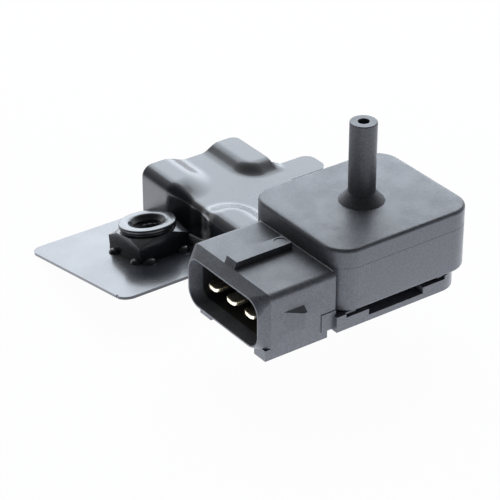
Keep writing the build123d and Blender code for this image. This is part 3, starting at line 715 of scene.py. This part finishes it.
def buildBeads():
    s, half = beadSize, nutSize["side"] / 2
    work = bmesh.new()
    bmesh.ops.create_icosphere(work, subdivisions=s["finer"], radius=1.0)
    beads = meshObject("weldBeads", meshFrom(work, "weldBeads"), "nut_coat")
    tree = GeoSheet("beadRing", [("Reach", "NodeSocketFloat"), ("Turn", "NodeSocketFloat"),
                                 ("Size", "NodeSocketFloat"), ("Seed", "NodeSocketInt")])
    rings = []
    for sign in (1, -1):
        ring = tree.node("GeometryNodeMeshCircle", {}, {"Vertices": 4, "Radius": tree.start.outputs["Reach"]})
        turned = tree.node("ShaderNodeMath", {"operation": "MULTIPLY_ADD"},
                           {0: tree.start.outputs["Turn"], 1: float(sign), 2: math.pi / 4})
        angle = tree.node("ShaderNodeCombineXYZ", {}, {"Z": turned.outputs[0]})
        rings.append(tree.node("GeometryNodeTransform", {}, {"Geometry": ring.outputs[0],
                                                             "Rotation": angle.outputs[0]}))
    both = tree.node("GeometryNodeJoinGeometry")
    for ring in rings:
        tree.tree.links.new(ring.outputs[0], both.inputs[0])
    size = tree.node("FunctionNodeRandomValue", {"data_type": "FLOAT"},
                     {2: s["smallest"], 3: s["largest"], "Seed": tree.start.outputs["Seed"]})
    scaled = tree.node("ShaderNodeMath", {"operation": "MULTIPLY"}, {0: size.outputs[1],
                                                                     1: tree.start.outputs["Size"]})
    flat = tree.node("ShaderNodeCombineXYZ", {}, {"X": scaled.outputs[0], "Y": scaled.outputs[0],
                                                  "Z": scaled.outputs[0]})
    placed = tree.node("GeometryNodeInstanceOnPoints", {}, {"Points": both.outputs[0],
                                                            "Instance": tree.start.outputs["Geometry"],
                                                            "Scale": flat.outputs[0]})
    tree.finish(placed.outputs[0], finishes["nut_coat"])
    reach = math.hypot(half, s["out"])
    lean = math.pi / 4 - math.atan2(s["out"], half)
    tree.applyTo(beads, {"Reach": reach * mm, "Turn": lean, "Size": s["size"] * mm, "Seed": s["seed"]})
    flatten = Matrix.Diagonal((1, 1, s["flat"], 1))
    beads.data.transform(nutPlace() @ flatten)
    return stands(beads, "nut_coat")


bladeRow = buildBlades()
weldBeads = buildBeads()
print("blades and beads:", len(bladeRow.data.polygons), len(weldBeads.data.polygons))


# floor, light and camera
floorSize = {"half": 1500.0, "colour": (0.86, 0.87, 0.89, 1), "shown": 0.97, "glow": (2.15, 2.22, 2.38, 1),
             "farGlow": (0.5, 0.51, 0.53, 1), "glowFrom": 0.05, "glowTo": 0.12}
lightSize = {"frontSky": 0.07, "skyColour": (0.95, 0.975, 1.0, 1), "sweepWay": (-0.81, 0.58, 0.1),
             "sweepFrom": 0.0, "sweepFull": 0.7}
softboxSize = {"azimuth": 234.4, "elevation": 28.7, "wide": 420.0, "high": 330.0, "far": 360.0,
               "power": 1.72, "colour": (0.81, 0.895, 1.0), "aim": (-10.0, -8.0, 5.0)}
cameraSize = {"place": (246.4, -198.3, 191.6), "azimuth": 54.44, "elevation": 30.64, "lens": 159.64,
              "sensor": 36.0, "shift": -0.0022, "near": 10.0, "far": 20000.0}


def buildFloor():
    low, half = boxAtLoad[0][2], floorSize["half"] * mm
    mesh = bpy.data.meshes.new("studioFloor")
    mesh.from_pydata([(-half, -half, low), (half, -half, low), (half, half, low), (-half, half, low)], [],
                     [(0, 1, 2, 3)])
    floor = linked("studioFloor", mesh)
    sheet = Sheet(bpy.data.materials.new("studioFloor"))
    seen = sheet.node("ShaderNodeLightPath", output="Is Camera Ray")
    matt = sheet.node("ShaderNodeBsdfDiffuse", {}, {"Color": floorSize["colour"]})
    place = sheet.node("ShaderNodeTexCoord", output="Object")
    reach = sheet.node("ShaderNodeVectorMath", {"operation": "LENGTH"}, {0: place}, "Value")
    far = reach.clamped(floorSize["glowFrom"], floorSize["glowTo"])
    lit = sheet.mix(far, floorSize["glow"], floorSize["farGlow"])
    glow = sheet.node("ShaderNodeEmission", {}, {"Color": sheet.mix(seen, lit, (1, 1, 1, 1))})
    blended = sheet.node("ShaderNodeMixShader", {}, {0: floorSize["shown"], 1: matt, 2: glow})
    mesh.materials.append(sheet.close("ShaderNodeOutputMaterial", blended))


def buildSky():
    world = bpy.data.worlds.new("studioSky")
    bpy.context.scene.world = world
    sheet = Sheet(world)
    seen = sheet.node("ShaderNodeLightPath", output="Is Camera Ray")
    way = sheet.node("ShaderNodeTexCoord", output="Generated")
    sweep = sheet.node("ShaderNodeVectorMath", {"operation": "DOT_PRODUCT"},
                       {0: way, 1: lightSize["sweepWay"]}, "Value")
    shown = seen + (1.0 - seen) * sweep.clamped(lightSize["sweepFrom"], lightSize["sweepFull"])
    sky = sheet.node("ShaderNodeBackground", {}, {"Color": lightSize["skyColour"],
                                                  "Strength": lightSize["frontSky"]})
    white = sheet.node("ShaderNodeBackground", {}, {"Color": (1, 1, 1, 1), "Strength": 1.0})
    sheet.close("ShaderNodeOutputWorld", sheet.node("ShaderNodeMixShader", {}, {0: shown, 1: sky, 2: white}))


# the way from the object towards a lamp or the camera
def outwards(size):
    turn, up = math.radians(size["azimuth"]), math.radians(size["elevation"])
    return Vector((math.sin(turn) * math.cos(up), -math.cos(turn) * math.cos(up), math.sin(up)))


def hangSoftbox():
    s, outward = softboxSize, outwards(softboxSize)
    lamp = bpy.data.lights.new("backSoftbox", "AREA")
    lamp.shape = "RECTANGLE"
    lamp.size = s["wide"] * mm
    lamp.size_y = s["high"] * mm
    lamp.energy = s["power"]
    lamp.color = s["colour"]
    holder = linked("backSoftbox", lamp)
    holder.location = (Vector(s["aim"]) + outward * s["far"]) * mm
    holder.rotation_euler = (-outward).to_track_quat("-Z", "Y").to_euler()


def buildCamera():
    s = cameraSize
    data = bpy.data.cameras.new("photoCamera")
    data.lens = s["lens"]
    data.sensor_width = s["sensor"]
    data.shift_x = s["shift"]
    data.clip_start = s["near"] * mm
    data.clip_end = s["far"] * mm
    camera = linked("photoCamera", data)
    camera.location = Vector(s["place"]) * mm
    camera.rotation_euler = (-outwards(s)).to_track_quat("-Z", "Y").to_euler()
    bpy.context.scene.camera = camera


buildFloor()
buildSky()
buildCamera()
hangSoftbox()
bpy.context.scene.view_settings.view_transform = "Standard"
print("floor, light and camera ready")
